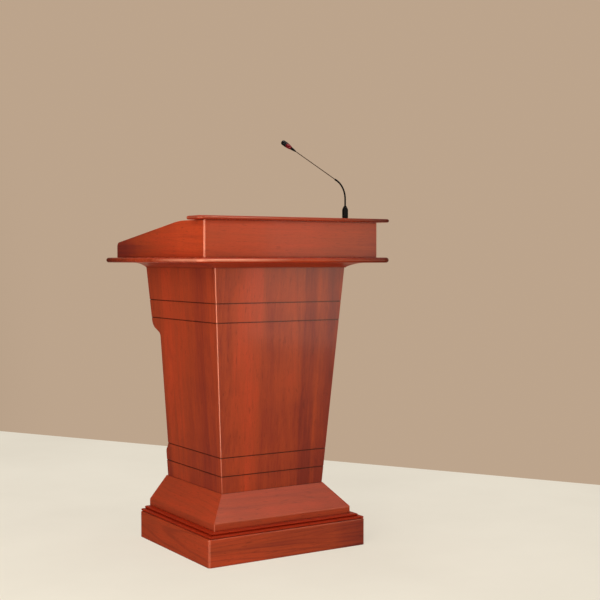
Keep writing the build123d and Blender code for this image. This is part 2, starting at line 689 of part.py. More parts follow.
def socket_screw_shape(x, y, spread):
    head_radius, head_height = SOCKET_SCREW_HEAD
    shank_radius = SOCKET_SCREW_RADIUS + spread
    shank = rod(x, y, TOP_BOARD_TOP - SOCKET_SCREW_LENGTH, TOP_BOARD_TOP - head_height, shank_radius)
    head = Cone(shank_radius, head_radius + spread, head_height)
    return shank + Pos(x, y, TOP_BOARD_TOP - head_height / 2) * head


def socket_screw(x, y):
    """One socket screw with its cross slot."""
    half_length, half_width, depth = CROSS_SLOT
    levels = (TOP_BOARD_TOP - depth, TOP_BOARD_TOP + 1)
    cross = block(x - half_length, x + half_length, y - half_width, y + half_width, *levels)
    cross = cross + block(x - half_width, x + half_width, y - half_length, y + half_length, *levels)
    return socket_screw_shape(x, y, 0) - cross


def contacts(z0, z1, radius):
    """Three upright rods where the plug's pins and the socket's holes are."""
    rods = []
    for turn in CONTACT_TURNS:
        angle = math.radians(turn)
        x = MIC_X + CONTACT_CIRCLE * math.cos(angle)
        y = MIC_Y + CONTACT_CIRCLE * math.sin(angle)
        rods.append(rod(x, y, z0, z1, radius))
    return rods


def tab_block(spread, z0, z1):
    half_x, half_y = TAB_SIZE[0] / 2 + spread, TAB_SIZE[1] / 2 + spread
    middle = MIC_Y + TAB_OFFSET
    return block(MIC_X - half_x, MIC_X + half_x, middle - half_y, middle + half_y, z0, z1)


def microphone_socket():
    core_radius, core_height = SOCKET_CORE
    floor = TOP_BOARD_TOP - SOCKET_BORE_DEPTH
    bore = rod(MIC_X, MIC_Y, floor, TOP_BOARD_TOP + 1, SOCKET_BORE_RADIUS)
    core = rod(MIC_X, MIC_Y, floor, floor + core_height, core_radius)
    for hole in contacts(floor + CONTACT_SHORT, floor + core_height + 1, CONTACT_HOLE_RADIUS):
        core = core - hole
    slot = tab_block(TAB_FIT, TOP_BOARD_TOP - TAB_DEPTH - TAB_TRAVEL_ROOM, TOP_BOARD_TOP + 1)
    socket = socket_recess(0) - bore + core - slot
    screws = []
    for x, y in socket_screw_places():
        socket = socket - socket_screw_shape(x, y, SCREW_FIT)
        screws.append(socket_screw(x, y))
    tab = tab_block(0, TOP_BOARD_TOP - TAB_DEPTH, TOP_BOARD_TOP + TAB_PROUD)
    tab = fillet(level_edges(tab, TOP_BOARD_TOP + TAB_PROUD), TAB_EDGE_RADIUS)
    return {"mic_socket": socket, "socket_screws": screws, "release_tab": tab}


# ---- microphone ---------------------------------------------------------
def neck_point(turn):
    """A point on the neck's bend and the direction there, turn degrees after upright."""
    a = math.radians(turn)
    heading = math.radians(NECK_HEADING)
    out = NECK_BEND_RADIUS * (1 - math.cos(a))
    point = Vector(MIC_X + out * math.cos(heading), MIC_Y + out * math.sin(heading),
                   NECK_STRAIGHT_TOP + NECK_BEND_RADIUS * math.sin(a))
    ahead = Vector(math.sin(a) * math.cos(heading), math.sin(a) * math.sin(heading), math.cos(a))
    return point, ahead


def bent_tube(turn0, turn1, radius):
    """The round neck between two angles of its bend."""
    start, start_way = neck_point(turn0)
    path = ThreePointArc(start, neck_point((turn0 + turn1) / 2)[0], neck_point(turn1)[0])
    return sweep(Plane(start, z_dir=start_way) * Circle(radius), path=path)


def straight_tube(start, way, length, radius):
    return Plane(start, z_dir=way) * Pos(0, 0, length / 2) * Cylinder(radius, length)


def turned(start, way, outline):
    """A turned solid about the line from start along way. outline lists (radius, distance)."""
    frame = Plane(start, z_dir=way)
    points = [(r, 0, s) for r, s in outline]
    section = make_face(Polyline(*points, close=True))
    return frame * revolve(section, axis=Axis.Z)


def microphone_barrel():
    """The plug's handle: a bottle shape with the hollow plug and its pins below it."""
    clear = TOP_BOARD_TOP + BARREL_LIFT
    r, ease = BARREL_RADIUS, 0.6
    outline = [(0, clear), (r - ease, clear), (r, clear + ease), (r, BARREL_SHOULDER),
               (r - 0.8, BARREL_SHOULDER + 3.5), (r - 3.0, BARREL_TOP - 5),
               (NECK_RADIUS + 1.4, BARREL_TOP), (0, BARREL_TOP)]
    body = turned((MIC_X, MIC_Y, 0), (0, 0, 1), outline)
    plug = rod(MIC_X, MIC_Y, clear - PLUG_LENGTH, clear, PLUG_OUTER_RADIUS)
    plug = plug - rod(MIC_X, MIC_Y, clear - PLUG_LENGTH, clear, PLUG_INNER_RADIUS)
    for pin in contacts(clear - PLUG_LENGTH + CONTACT_SHORT, clear, CONTACT_PIN_RADIUS):
        plug = plug + pin
    return body + plug


def microphone():
    middle = NECK_TURN / 2
    gap_turn = math.degrees((NECK_RADIUS + NECK_GAP) / NECK_BEND_RADIUS)
    lower = rod(MIC_X, MIC_Y, BARREL_TOP, NECK_STRAIGHT_TOP, NECK_RADIUS)
    lower = lower + bent_tube(0, middle - gap_turn, NECK_RADIUS)
    pivot, _ = neck_point(middle)
    flex_end, way = neck_point(NECK_TURN)
    upper = bent_tube(middle, NECK_TURN, NECK_RADIUS) + straight_tube(flex_end, way, FLEX_TAIL, NECK_RADIUS)
    upper = upper + Pos(*pivot) * Sphere(NECK_RADIUS)
    stem_start = flex_end + way * FLEX_TAIL
    stem = straight_tube(stem_start, way, STEM_LENGTH, STEM_RADIUS)
    head_start = stem_start + way * STEM_LENGTH
    ring_at, ring, capsule = HEAD_LENGTHS
    capsule_at = ring_at + ring
    end = capsule_at + capsule
    collar = turned(head_start, way, [(0, 0), (STEM_RADIUS + 0.6, 0), (4.4, 14), (5.1, ring_at), (0, ring_at)])
    light = turned(head_start, way, [(0, ring_at), (5.1, ring_at), (7.2, ring_at + 7), (8.2, ring_at + 15),
                                     (8.6, ring_at + 19), (8.6, capsule_at - 1.5), (8.2, capsule_at),
                                     (0, capsule_at)])
    head = turned(head_start, way, [(0, capsule_at), (8.4, capsule_at), (9.2, capsule_at + 2),
                                    (9.2, end - 6), (8.2, end - 2.5), (6.0, end - 0.5), (0, end)])
    return {
        "mic_barrel": microphone_barrel(),
        "mic_neck_lower": lower,
        "mic_neck_upper": upper,
        "mic_stem": stem + collar,
        "mic_light_ring": light,
        "mic_capsule": head,
    }


# ---- doors --------------------------------------------------------------
def knob(x, y, z):
    """A turned knob on its own threaded stud, axis along +Y."""
    return turned((x, y, z), (0, 1, 0), KNOB_OUTLINE)


def knob_hole(x, y, z):
    """The hole for the knob's stud."""
    return Pos(x, y, z) * Rot(90, 0, 0) * Cylinder(*KNOB_STUD)


def hinge_leaf(side, middle, outer_knuckles):
    """One leaf of a right-hand hinge. side is +1 on the stile and -1 on the door."""
    low, high = middle - HINGE_LENGTH / 2, middle + HINGE_LENGTH / 2
    edge = DOOR_OPENING_HALF_WIDTH if side > 0 else DOOR_OPENING_HALF_WIDTH - DOOR_SIDE_GAP
    x0, x1 = sorted((edge, edge - side * LEAF_THICKNESS))
    leaf = block(x0, x1, LEAF_INNER, DOOR_FACE - 0.4, low, high)
    third = HINGE_LENGTH / 3
    if outer_knuckles:
        spans = [(low, low + third - KNUCKLE_GAP / 2), (high - third + KNUCKLE_GAP / 2, high)]
    else:
        spans = [(low + third + KNUCKLE_GAP / 2, high - third - KNUCKLE_GAP / 2)]
    for z0, z1 in spans:
        leaf = leaf + block(x0, x1, DOOR_FACE - 0.5, HINGE_AXIS_Y, z0, z1)
        leaf = leaf + rod(HINGE_AXIS_X, HINGE_AXIS_Y, z0, z1, KNUCKLE_RADIUS)
    return leaf - rod(HINGE_AXIS_X, HINGE_AXIS_Y, low - 1, high + 1, HINGE_PIN_RADIUS + HINGE_FIT)


def hinge_pin(middle):
    low, high = middle - HINGE_LENGTH / 2, middle + HINGE_LENGTH / 2
    pin = rod(HINGE_AXIS_X, HINGE_AXIS_Y, low, high, HINGE_PIN_RADIUS)
    for z in (low - PIN_HEAD, high):
        pin = pin + rod(HINGE_AXIS_X, HINGE_AXIS_Y, z, z + PIN_HEAD, PIN_HEAD_RADIUS)
    return pin


def door_parts():
    """The right-hand door with its knob, hinge leaves and strike plate."""
    inner_face = DOOR_FACE - BOARD
    knob_x, knob_z = DOOR_KNOB
    door = block(DOOR_MIDDLE_GAP, DOOR_OPENING_HALF_WIDTH - DOOR_SIDE_GAP, inner_face, DOOR_FACE,
                 DOOR_BOTTOM, DOOR_TOP)
    face_edges = [e for e in door.edges() if abs((e @ 0).Y - DOOR_FACE) < 1e-4
                  and abs((e @ 1).Y - DOOR_FACE) < 1e-4]
    door = fillet(face_edges, DOOR_EDGE_RADIUS) - knob_hole(knob_x, DOOR_FACE, knob_z)
    leaves = [hinge_leaf(-1, z, False) for z in HINGE_HEIGHTS]
    height, gap = STRIKE_HEIGHT
    strike = block(*STRIKE_X, inner_face - STRIKE_THICKNESS, inner_face, DOOR_TOP - gap - height,
                   DOOR_TOP - gap)
    return door, knob(knob_x, DOOR_FACE, knob_z), leaves, strike


def doors():
    nodes = {}
    door, handle, leaves, strike = door_parts()
    for side, place in (("right", lambda p: p), ("left", other_side)):
        nodes[f"door_{side}"] = place(door)
        nodes[f"door_knob_{side}"] = place(handle)
        nodes[f"door_hinge_leaves_{side}"] = [place(leaf) for leaf in leaves]
        nodes[f"strike_plate_{side}"] = place(strike)
    frame_leaves, pins = [], []
    for z in HINGE_HEIGHTS:
        frame_leaves += pair(hinge_leaf(1, z, True))
        pins += pair(hinge_pin(z))
    nodes["frame_hinge_leaves"] = frame_leaves
    nodes["hinge_pins"] = pins
    catch_face = DOOR_FACE - BOARD - STRIKE_THICKNESS - CATCH_GAP
    catch = block(*CATCH_X, catch_face - CATCH_DEPTH, catch_face, DOOR_TOP - BOARD, APRON_BOTTOM)
    nodes["door_catches"] = pair(catch)
    return nodes


# ---- drawer -------------------------------------------------------------
def channel(x_web, x_lips, half_height):
    """A right-hand C channel along Y: its web at x_web, its lips reaching to x_lips."""
    way = 1 if x_lips > x_web else -1
    y0 = SUPPORT_ENDS[1] - RUNNER_LENGTH
    low, high = RUNNER_MIDDLE - half_height, RUNNER_MIDDLE + half_height
    inner_web = x_web + way * RUNNER_SHEET
    outer = block(min(x_web, x_lips), max(x_web, x_lips), y0, SUPPORT_ENDS[1], low, high)
    hollow = block(min(inner_web, x_lips + way), max(inner_web, x_lips + way), y0 - 1,
                   SUPPORT_ENDS[1] + 1, low + RUNNER_SHEET, high - RUNNER_SHEET)
    return outer - hollow


def drawer():
    front = inside_prism(DRAWER_FRONT_BOTTOM, DRAWER_FRONT_TOP, DRAWER_FACE - BOARD, DRAWER_FACE,
                         gap=DRAWER_SIDE_GAP)
    knob_z = (DRAWER_FRONT_BOTTOM + DRAWER_FRONT_TOP) / 2
    front = front - knob_hole(0, DRAWER_FACE, knob_z)
    w, t, rear, inner_face = DRAWER_HALF_WIDTH, DRAWER_BOARD, DRAWER_REAR, DRAWER_FACE - BOARD
    top = DRAWER_BOTTOM + DRAWER_HEIGHT
    side = block(w - t, w, rear, inner_face, DRAWER_BOTTOM, top)
    back = block(t - w, w - t, rear, rear + t, DRAWER_BOTTOM, top)
    bottom = block(t - w, w - t, rear + t, inner_face, DRAWER_BOTTOM, DRAWER_BOTTOM + DRAWER_SHEET)
    outer_half = RUNNER_HEIGHT / 2
    inner_half = outer_half - RUNNER_SHEET - RUNNER_CLEARANCE
    outer_runner = channel(SUPPORT_INNER, w + RUNNER_SHEET + RUNNER_LIP_GAP, outer_half)
    inner_runner = channel(w, SUPPORT_INNER - RUNNER_SHEET - RUNNER_LIP_GAP, inner_half)
    return {
        "runner_outer": pair(outer_runner),
        "drawer_front": front,
        "drawer_sides": pair(side),
        "drawer_back": back,
        "drawer_bottom": bottom,
        "drawer_knob": knob(0, DRAWER_FACE, knob_z),
        "runner_inner": pair(inner_runner),
    }


# ---- write every node ---------------------------------------------------
def write(name, shape):
    solids = []
    for piece in shape if isinstance(shape, list) else [shape]:
        solids += piece.solids()
    whole = solids[0] if len(solids) == 1 else Compound(children=solids)
    whole.label = name
    export_step(whole, f"parts/{name}.step")


os.makedirs("parts", exist_ok=True)
sections = [plinth, corner_supports, reeds, skirt, column_panels, desk_screws, cupboard, drawer_housing,
            cove, desk_board, upper_box, reading_surface, top_board, microphone_socket, microphone,
            doors, drawer]
for section in sections:
    for node, made in section().items():
        write(node, made)
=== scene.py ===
import math

import bmesh
import bpy
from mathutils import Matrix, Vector


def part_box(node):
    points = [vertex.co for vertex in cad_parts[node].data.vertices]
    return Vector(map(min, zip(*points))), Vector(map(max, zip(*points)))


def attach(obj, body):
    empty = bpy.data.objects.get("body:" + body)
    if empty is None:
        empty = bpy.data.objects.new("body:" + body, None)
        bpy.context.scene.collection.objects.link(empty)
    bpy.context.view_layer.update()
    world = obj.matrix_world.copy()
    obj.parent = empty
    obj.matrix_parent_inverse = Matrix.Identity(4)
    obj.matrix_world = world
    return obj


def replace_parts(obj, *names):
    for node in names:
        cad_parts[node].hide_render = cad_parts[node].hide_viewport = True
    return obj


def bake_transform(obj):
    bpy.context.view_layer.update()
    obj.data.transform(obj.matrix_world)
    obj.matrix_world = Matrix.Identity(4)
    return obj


# Looks of the lectern podium: metres, row frame, +Z up, -Y the audience's side.

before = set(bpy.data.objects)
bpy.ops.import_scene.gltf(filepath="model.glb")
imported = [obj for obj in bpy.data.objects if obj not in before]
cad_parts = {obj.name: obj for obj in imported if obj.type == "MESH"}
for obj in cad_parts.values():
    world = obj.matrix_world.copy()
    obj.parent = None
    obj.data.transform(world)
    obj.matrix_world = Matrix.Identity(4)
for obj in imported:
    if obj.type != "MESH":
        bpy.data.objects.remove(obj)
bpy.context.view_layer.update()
MM = 0.001

# ---- camera, light and room --------------------------------------------------
CAMERA_AT = (-2.0842, -3.6940, 1.0113)
CAMERA_AZIMUTH = -32.167        # degrees from +Y, seen from above
CAMERA_PITCH = -2.003
LENS = 70.58                    # mm on a 36 mm sensor

WALL_LIGHT = (0.505, 0.372, 0.262)      # warm room colour all round
BRIGHT_SIDE = (0.53, 0.85, 0.0)         # the room is brightest in this direction
BRIGHT_STOPS = ((0.2, 0.65), (0.9, 1.0))        # cosine to that direction, brightness
DARK_CORNER = (-0.62, 0.75, -0.12)      # the room is darker in this direction
DARK_STOPS = ((0.50, 1.0), (0.85, 0.22))
FLOOR_EDGE_WAY = 29.84          # degrees from +X, square to the floor's edge behind the object
FLOOR_EDGE_AT = 1.603           # metres from the origin
FLOOR_REACH = 9.0
FLOOR_GLOW = 2.55               # the floor's own light, which keeps it evenly pale

# ---- colours, linear ---------------------------------------------------------
WOOD_SHADES = (                 # from the darkest purple streak to the reddest band
    (0.00, (0.150, 0.018, 0.016)),
    (0.25, (0.250, 0.030, 0.017)),
    (0.50, (0.390, 0.053, 0.017)),
    (0.75, (0.515, 0.059, 0.018)),
    (1.00, (0.640, 0.082, 0.022)),
)
ARCH_LINE = (0.13, 0.016, 0.012)
FLECK = (0.11, 0.018, 0.010)
OPEN_PORE = (0.10, 0.012, 0.008)
DEEP_RED = (0.33, 0.016, 0.003)         # thick lacquer; also mixed in as painted shade on the boards' rims
# painted shade in the column's grooves
GROOVE_SHADE = (0.055, 0.006, 0.003)
# painted shade in creases and joints
CREVICE_SHADE = (0.055, 0.003, 0.001)
# painted shade towards a board's back and right ends
BOARD_END_SHADE = (0.055, 0.005, 0.002)
PAINTED_HIGHLIGHT = (0.80, 0.28, 0.19)        # painted highlight on rounded edges

# ---- where the wood's colour changes, metres ---------------------------------
HIGHLIGHT_FADE_HEIGHTS = (0.24, 0.40)   # the painted highlight on upright corners fades out below these
FOOT_SHADE_HEIGHTS = (0.22, 0.58)     # painted shade: the column's veneer darkens downwards between these
HIGHLIGHT_ACROSS = (-0.60, -0.41)    # x + y where a board's edge gets the painted highlight fully and not at all
END_SHADE_ACROSS = (-0.30, -0.02)    # x + y where a board's edge gets no painted shade and where it gets it fully
LEAF_WIDTH = 0.19               # one leaf of veneer
ARCHES_PER_METRE = 3.6
ARCH_CURVE = 18.0               # how steeply an arch falls beside its leaf's middle
LIPPING = 0.010                 # solid edge on the visible edge of an inner board
GROOVES = (0.2743, 0.3387, 0.7973, 0.8622)      # heights of the column's grooves
GROOVE_SHADE_WIDTH = (0.0010, 0.0028)     # full and no painted shade, from a groove's middle
CREVICE_SHADE_REACH = 0.007                 # how near the next surface must be for the painted crevice shade

# ---- the microphone's middle line, metres past the barrel's top --------------
UP = Vector((0.0, 0.0, 1.0))
NECK_FOOT = Vector((0.232, -0.306, 1.195))
NECK_HEADING = math.radians(110.0)
NECK_WAY = Vector((math.cos(NECK_HEADING), math.sin(NECK_HEADING), 0.0))
NECK_UPRIGHT = 0.024
NECK_BEND = 0.0775
NECK_TURN = math.radians(58.5)
NECK_STRAIGHT = 0.008           # past the bend
STEM_LENGTH = 0.205
NECK_END = NECK_UPRIGHT + NECK_BEND * NECK_TURN + NECK_STRAIGHT
HEAD_START = NECK_END + STEM_LENGTH
RIB_PITCH = 0.0024
PIN_CIRCLE = 0.0042
COLLAR_END, RING_END = 23.0, 45.0       # mm past the head's start
SLIT_PITCH = 2.6                # mm


class Finish:
    """One procedural material, with short calls for the nodes that make it."""

    def __init__(self, name, **uniform):
        self.material = bpy.data.materials.new(name)
        self.material.use_nodes = True
        self.tree = self.material.node_tree
        self.shader = self.tree.nodes["Principled BSDF"]
        self.place = self.node("TexCoord", {}).outputs["Object"]
        for key, value in uniform.items():
            self.shader.inputs[key.replace("_", " ")].default_value = value

    def node(self, kind, inputs, **settings):
        made = self.tree.nodes.new("ShaderNode" + kind)
        for key, value in settings.items():
            setattr(made, key, value)
        for key, value in inputs.items():
            if isinstance(value, bpy.types.NodeSocket):
                self.tree.links.new(value, made.inputs[key])
            else:
                made.inputs[key].default_value = value
        return made

    def to_shader(self, name, socket):
        self.tree.links.new(socket, self.shader.inputs[name])

    def noise(self, scale, detail=2.0, seed=0.0, distortion=0.0):
        """Noise with its own number of features per metre along X, Y and Z."""
        mapped = self.node("Mapping", {"Vector": self.place, "Scale": scale,
                                       "Location": (seed, 1.7 * seed, 2.3 * seed)})
        made = self.node("TexNoise", {"Vector": mapped.outputs[0], "Scale": 1.0, "Detail": detail,
                                      "Roughness": 0.55, "Distortion": distortion})
        return made.outputs[0]

    def span(self, socket, low, high, to_low=0.0, to_high=1.0):
        """Maps low...high to to_low...to_high, clamped."""
        return self.node("MapRange", {"Value": socket, "From Min": low, "From Max": high,
                                      "To Min": to_low, "To Max": to_high}).outputs[0]

    def total(self, start, *weighted):
        """start plus each (socket, gain), with the sockets' middle of 0.5 counting as nothing."""
        result = start
        for socket, gain in weighted:
            step = self.node("Math", {0: socket, 1: gain, 2: result}, operation="MULTIPLY_ADD")
            result = step.outputs[0]
        if weighted:
            shift = -0.5 * sum(gain for _, gain in weighted)
            result = self.node("Math", {0: result, 1: shift}, operation="ADD").outputs[0]
        return result

    def times(self, a, b):
        return self.node("Math", {0: a, 1: b}, operation="MULTIPLY").outputs[0]

    def ramp(self, socket, stops):
        made = self.node("ValToRGB", {"Fac": socket})
        elements = made.color_ramp.elements
        while len(elements) < len(stops):
            elements.new(0.5)
        for element, (position, colour) in zip(elements, stops):
            element.position = position
            element.color = (*colour, 1.0)
        return made.outputs[0]

    def mix(self, share, a, b):
        colours = {6: a if isinstance(a, bpy.types.NodeSocket) else (*a, 1.0),
                   7: b if isinstance(b, bpy.types.NodeSocket) else (*b, 1.0)}
        return self.node("Mix", {0: share, **colours}, data_type="RGBA").outputs[2]

    def bump(self, height, depth, under=None):
        inputs = {"Height": height, "Distance": depth, "Strength": 1.0}
        if under is not None:
            inputs["Normal"] = under
        return self.node("Bump", inputs).outputs[0]


# ---- wood --------------------------------------------------------------------
def cathedral(finish, along, beside, wander, seed):
    """Thin nested arches of flat-sawn veneer, repeated on each leaf: 1 on a line, 0 between."""
    leaf = finish.node("Math", {0: beside, 1: 1 / LEAF_WIDTH, 2: 0.37 * seed},
                       operation="MULTIPLY_ADD")
    share = finish.node("Math", {0: leaf.outputs[0]}, operation="FRACT").outputs[0]
    offset = finish.node("Math", {0: share, 1: 0.5}, operation="SUBTRACT").outputs[0]
    rise = finish.node("Math", {0: finish.times(offset, offset), 1: ARCH_CURVE, 2: wander},
                       operation="MULTIPLY_ADD").outputs[0]
    cycle = finish.node("Math", {0: along, 1: ARCHES_PER_METRE, 2: rise}, operation="MULTIPLY_ADD")
    wave = finish.node("Math", {0: finish.times(cycle.outputs[0], 2 * math.pi)}, operation="SINE")
    return finish.span(wave.outputs[0], 0.45, 1.0)


def painted_corner_highlight(finish, colour, facing, height, highlight):
    """Paints a highlight on the rounded upright corners, fainter near the floor."""
    corner = finish.times(facing.outputs["X"], facing.outputs["Y"])
    corner = finish.node("Math", {0: corner}, operation="ABSOLUTE").outputs[0]
    share = finish.times(finish.span(corner, 0.12, 0.40, 0.0, highlight),
                         finish.span(height, *HIGHLIGHT_FADE_HEIGHTS, 0.35))
    return finish.mix(share, colour, PAINTED_HIGHLIGHT)


def painted_board_edge(finish, colour, facing, place, wander, highlight):
    """Paints light and shade on a board's rounded edge: deep red rims, partly painted shade, painted shade
    towards the back and right, and a pale painted highlight along its middle by the front left corner."""
    slant = finish.node("Math", {0: facing.outputs["Z"]}, operation="ABSOLUTE").outputs[0]
    rounded = finish.span(slant, 0.93, 0.99, 1.0, 0.0)
    # partly painted shade: the rims, where the rounded edge turns up and down, go deep red
    rim_shade = finish.times(rounded, finish.span(slant, 0.45, 0.85, 0.0, 0.85))
    across = finish.node("Math", {0: place.outputs["X"], 1: place.outputs["Y"]}, operation="ADD")
    across = finish.total(across.outputs[0], (wander, 0.08))
    # painted highlight along the edge's middle by the front left corner
    streak_highlight = finish.times(finish.span(across, *HIGHLIGHT_ACROSS, highlight, 0.0),
                        finish.span(slant, 0.25, 0.58, 1.0, 0.0))
    colour = finish.mix(rim_shade, colour, DEEP_RED)
    colour = finish.mix(streak_highlight, colour, PAINTED_HIGHLIGHT)
    # painted shade towards the board's back and right ends
    dark = finish.times(rounded, finish.span(across, *END_SHADE_ACROSS, 0.0, 0.85))
    return finish.mix(dark, colour, BOARD_END_SHADE)


def painted_groove_shade(finish, colour, height):
    """Paints shade into and beside the column's grooves."""
    for groove in GROOVES:
        away = finish.node("Math", {0: height, 1: groove}, operation="SUBTRACT").outputs[0]
        away = finish.node("Math", {0: away}, operation="ABSOLUTE").outputs[0]
        colour = finish.mix(finish.span(away, *GROOVE_SHADE_WIDTH, 0.62, 0.0), colour, GROOVE_SHADE)
    return colour


def painted_crevice_shade(finish, colour):
    """Painted shade: darkens the colour where the next surface is near."""
    hollow = finish.node("AmbientOcclusion", {"Distance": CREVICE_SHADE_REACH}, samples=6).outputs["AO"]
    return finish.mix(finish.span(hollow, 0.30, 0.88, 0.95, 0.0), colour, CREVICE_SHADE)


def veneer_layers(finish, grain, seed):
    """The veneer's variations by name, from broad to fine, most of them stretched along the grain."""
    def layer(along, beside, detail, shift, distortion=0.0):
        scale = [beside, beside, beside]
        scale["XYZ".index(grain)] = along
        return finish.noise(scale, detail, seed + shift, distortion)

    return {"wander": layer(1.6, 3.0, 2.0, 0.3),
            "broad": layer(0.5, 8.0, 2.0, 1.1, 0.3),
            "medium": layer(1.1, 30.0, 3.0, 2.7, 0.5),
            "narrow": layer(1.6, 120.0, 3.0, 3.3, 0.8),
            "fine": layer(7.0, 420.0, 3.0, 4.9),
            "pores": layer(55.0, 2100.0, 1.0, 6.2),
            "mottle": layer(9.0, 5.0, 2.0, 7.7),
            "flecks": layer(30.0, 230.0, 2.0, 8.4)}


def open_pores(finish, layers):
    return finish.span(layers["pores"], 0.60, 0.72, 0.0, 0.40)


def marked(finish, colour, along, beside, layers, arches, seed):
    """Lays the arches' thin lines, dark flecks and open pores over the veneer's colour."""
    wander = finish.total(0.5, (layers["medium"], 1.0), (layers["wander"], 3.0))
    lines = cathedral(finish, along, beside, wander, seed)
    patch = finish.times(lines, finish.span(layers["broad"], 0.42, 0.58, 0.25, 1.0))
    colour = finish.mix(finish.times(patch, arches), colour, ARCH_LINE)
    colour = finish.mix(finish.span(layers["flecks"], 0.60, 0.72, 0.0, 0.42), colour, FLECK)
    return finish.mix(open_pores(finish, layers), colour, OPEN_PORE)


def lacquer_surface(finish, layers, rough, seed):
    """The lacquer's roughness and relief: slow ripples, with fine grain and sunken pores on them."""
    finish.to_shader("Roughness", finish.total(rough, (layers["medium"], 0.10), (layers["pores"], 0.12)))
    ripple = finish.bump(finish.noise((38.0,) * 3, 1.0, seed), 0.00010)
    relief = finish.total(0.0, (layers["fine"], 0.6), (open_pores(finish, layers), -0.8))
    finish.to_shader("Normal", finish.bump(relief, 0.00003, ripple))


def banded_shade(finish, place, figure_and_shade):
    """The shade at a place in metres, between the listed bands."""
    low, high = figure_and_shade[0][0], figure_and_shade[-1][0]
    stops = [((at - low) / (high - low), (level,) * 3) for at, level in figure_and_shade]
    return finish.ramp(finish.span(place, low, high), stops)


def wood(name, grain, seed, tone=0.5, across=None, banded=None, figure_and_shade=None, streaks=1.0, arches=0.16,
         gloss=1.0, column=False, board=False, highlight=0.6, stain=0.0):
    """Lacquered reddish veneer with its grain along one axis. The bands list (place along the axis banded,
    shade), partly the veneer's own bands and partly painted shade, and tone is the shade where none are
    given.
    It gets painted shade near the next surface, a column's also towards its foot and at its grooves;
    rounded edges get a painted highlight of the given strength, a board's also painted shade at its ends
    and, in part, at its rims, and stain is the share of deep red."""
    finish = Finish(name, Specular_IOR_Level=0.30 * gloss, Specular_Tint=(1.0, 0.62, 0.45, 1.0),
                    Coat_Weight=0.10 * gloss, Coat_Roughness=0.12, Coat_IOR=1.5)
    across = across or {"X": "Z", "Y": "Z", "Z": "X"}[grain]
    place = finish.node("SeparateXYZ", {0: finish.place})
    height = place.outputs["Z"]
    layers = veneer_layers(finish, grain, seed)
    shade = tone
    if figure_and_shade:
        drifting = finish.total(place.outputs[banded or across], (layers["wander"], 0.022))
        shade = banded_shade(finish, drifting, figure_and_shade)
    # painted shade: a column darkens towards its foot
    if column:
        foot_shade = finish.span(height, *FOOT_SHADE_HEIGHTS, 0.12, 0.0)
        shade = finish.node("Math", {0: shade, 1: foot_shade}, operation="SUBTRACT").outputs[0]
    shade = finish.total(shade, (layers["broad"], 0.45 * streaks), (layers["medium"], 0.48 * streaks),
                         (layers["narrow"], 0.34 * streaks), (layers["fine"], 0.13),
                         (layers["mottle"], 0.24))
    colour = finish.ramp(shade, WOOD_SHADES)
    colour = marked(finish, colour, place.outputs[grain], place.outputs[across], layers, arches, seed)
    # painted shade where the next surface is near
    colour = painted_crevice_shade(finish, colour)
    if stain:
        colour = finish.mix(stain, colour, DEEP_RED)
    # painted shade at the column's grooves
    if column:
        colour = painted_groove_shade(finish, colour, height)
    facing = finish.node("SeparateXYZ", {0: finish.node("TexCoord", {}).outputs["Normal"]})
    # painted shade and highlights on a board's edges, a painted highlight on other rounded corners
    if board:
        colour = painted_board_edge(finish, colour, facing, place, layers["wander"], highlight)
    else:
        colour = painted_corner_highlight(finish, colour, facing, height, highlight)
    finish.to_shader("Base Color", colour)
    lacquer_surface(finish, layers, 0.27 if board else 0.36, seed)
    return finish.material


def plain_board(name, seed, lipped_at=None):
    """Pale beech-like laminate for the pieces inside, with a red lipping beyond y = lipped_at."""
    finish = Finish(name, Specular_IOR_Level=0.4)
    broad = finish.noise((5.0, 26.0, 3.0), 3.0, seed, 0.4)
    fine = finish.noise((60.0, 500.0, 40.0), 2.0, seed + 2)
    flecks = finish.span(finish.noise((900.0, 240.0, 900.0), 1.0, seed + 4), 0.60, 0.72)
    shade = finish.total(0.5, (broad, 0.9), (fine, 0.3))
    colour = finish.ramp(shade, ((0.0, (0.33, 0.17, 0.075)), (0.5, (0.47, 0.27, 0.135)),
                                 (1.0, (0.58, 0.37, 0.20))))
    colour = finish.mix(finish.times(flecks, 0.35), colour, (0.24, 0.11, 0.045))
    if lipped_at is not None:
        place = finish.node("SeparateXYZ", {0: finish.place}).outputs["Y"]
        lipping = finish.ramp(finish.total(0.45, (broad, 0.8), (fine, 0.4)), WOOD_SHADES)
        colour = finish.mix(finish.span(place, lipped_at, lipped_at + 0.0002), colour, lipping)
    finish.to_shader("Base Color", colour)
    finish.to_shader("Roughness", finish.total(0.5, (broad, 0.1), (fine, 0.1)))
    finish.to_shader("Normal", finish.bump(fine, 0.00003))
    return finish.material


# ---- metal and plastic -------------------------------------------------------
def metal(name, dark, light, rough, scratch_scale, seed):
    """Bare metal with cloudy tarnish and fine scratches, its colours between dark and light."""
    finish = Finish(name, Metallic=1.0)
    cloud = finish.noise((70.0,) * 3, 3.0, seed)
    scratches = finish.noise(scratch_scale, 2.0, seed + 3)
    colour = finish.ramp(finish.total(0.5, (cloud, 0.9), (scratches, 0.5)), ((0.0, dark), (1.0, light)))
    finish.to_shader("Base Color", colour)
    finish.to_shader("Roughness", finish.total(rough, (cloud, 0.20), (scratches, 0.16)))
    finish.to_shader("Normal", finish.bump(scratches, 0.00002))
    return finish.material


